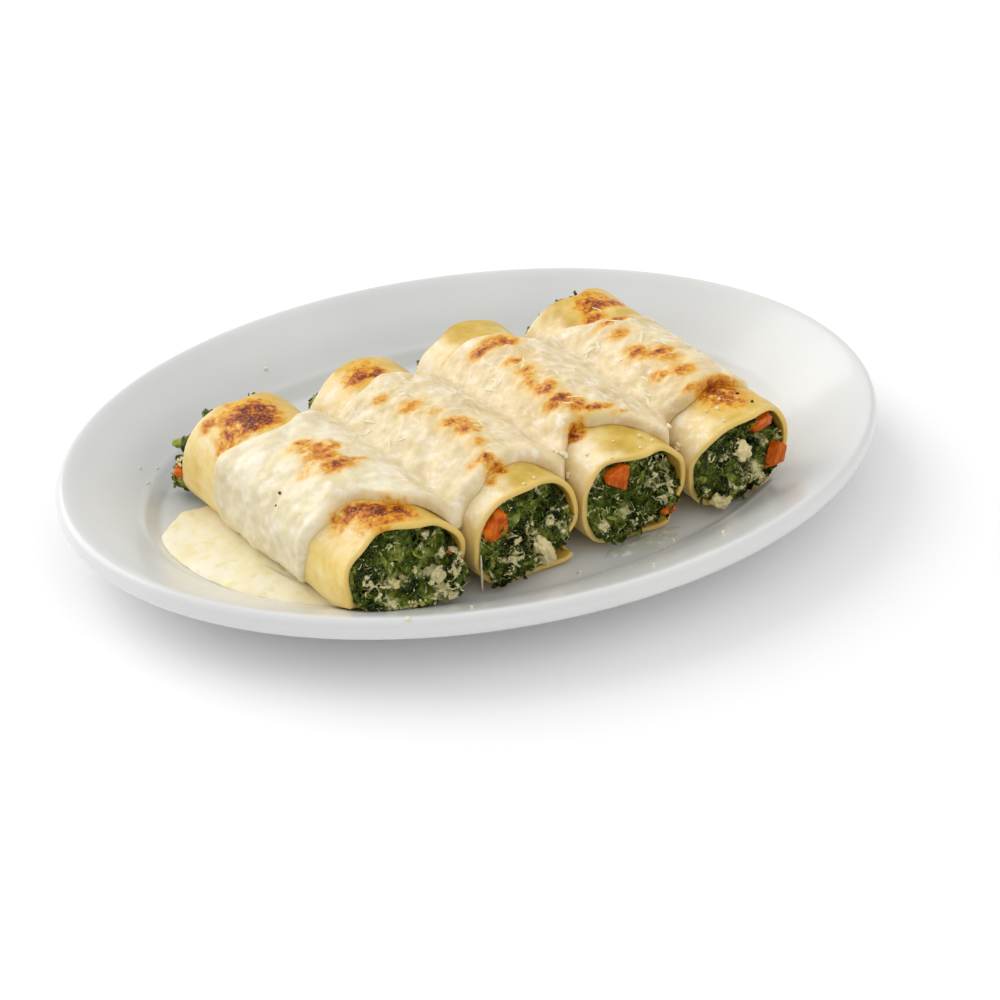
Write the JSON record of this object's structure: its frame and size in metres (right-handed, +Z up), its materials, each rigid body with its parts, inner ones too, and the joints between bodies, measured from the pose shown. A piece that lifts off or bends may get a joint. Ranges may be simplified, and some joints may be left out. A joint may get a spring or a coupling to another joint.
{
  "type": "baked cannelloni on an oval plate",
  "caption": "Baked pasta tubes filled with spinach and ricotta, laid side by side under a browned white sauce in the well of an oval porcelain plate.",
  "frame": {"origin": "on the table, under the middle of the plate", "axes": "+X along the plate's long axis, +Z up, the tubes' front ends towards -Y"},
  "size_m": [0.29, 0.212, 0.0482],
  "materials": {
    "porcelain": "white glazed porcelain, smooth and glossy",
    "pasta": "baked egg pasta, pale yellow, slightly moist",
    "filling": "chopped spinach bound with ricotta, dark green, moist",
    "bechamel": "thick cream-coloured sauce with melted cheese, browned in patches",
    "carrot": "cooked carrot, orange",
    "ricotta": "fresh curd cheese, cream"
  },
  "bodies": {
    "root": {"plate": "porcelain", "pasta_1": "pasta", "pasta_2": "pasta", "pasta_3": "pasta", "pasta_4": "pasta", "filling_1": "filling", "filling_2": "filling", "filling_3": "filling", "filling_4": "filling", "bechamel": "bechamel", "sauce_pool": "bechamel", "carrot_1": "carrot", "carrot_2": "carrot", "carrot_3": "carrot", "carrot_4": "carrot", "ricotta_1": "ricotta", "ricotta_2": "ricotta", "ricotta_3": "ricotta"}
  },
  "joints": []
}
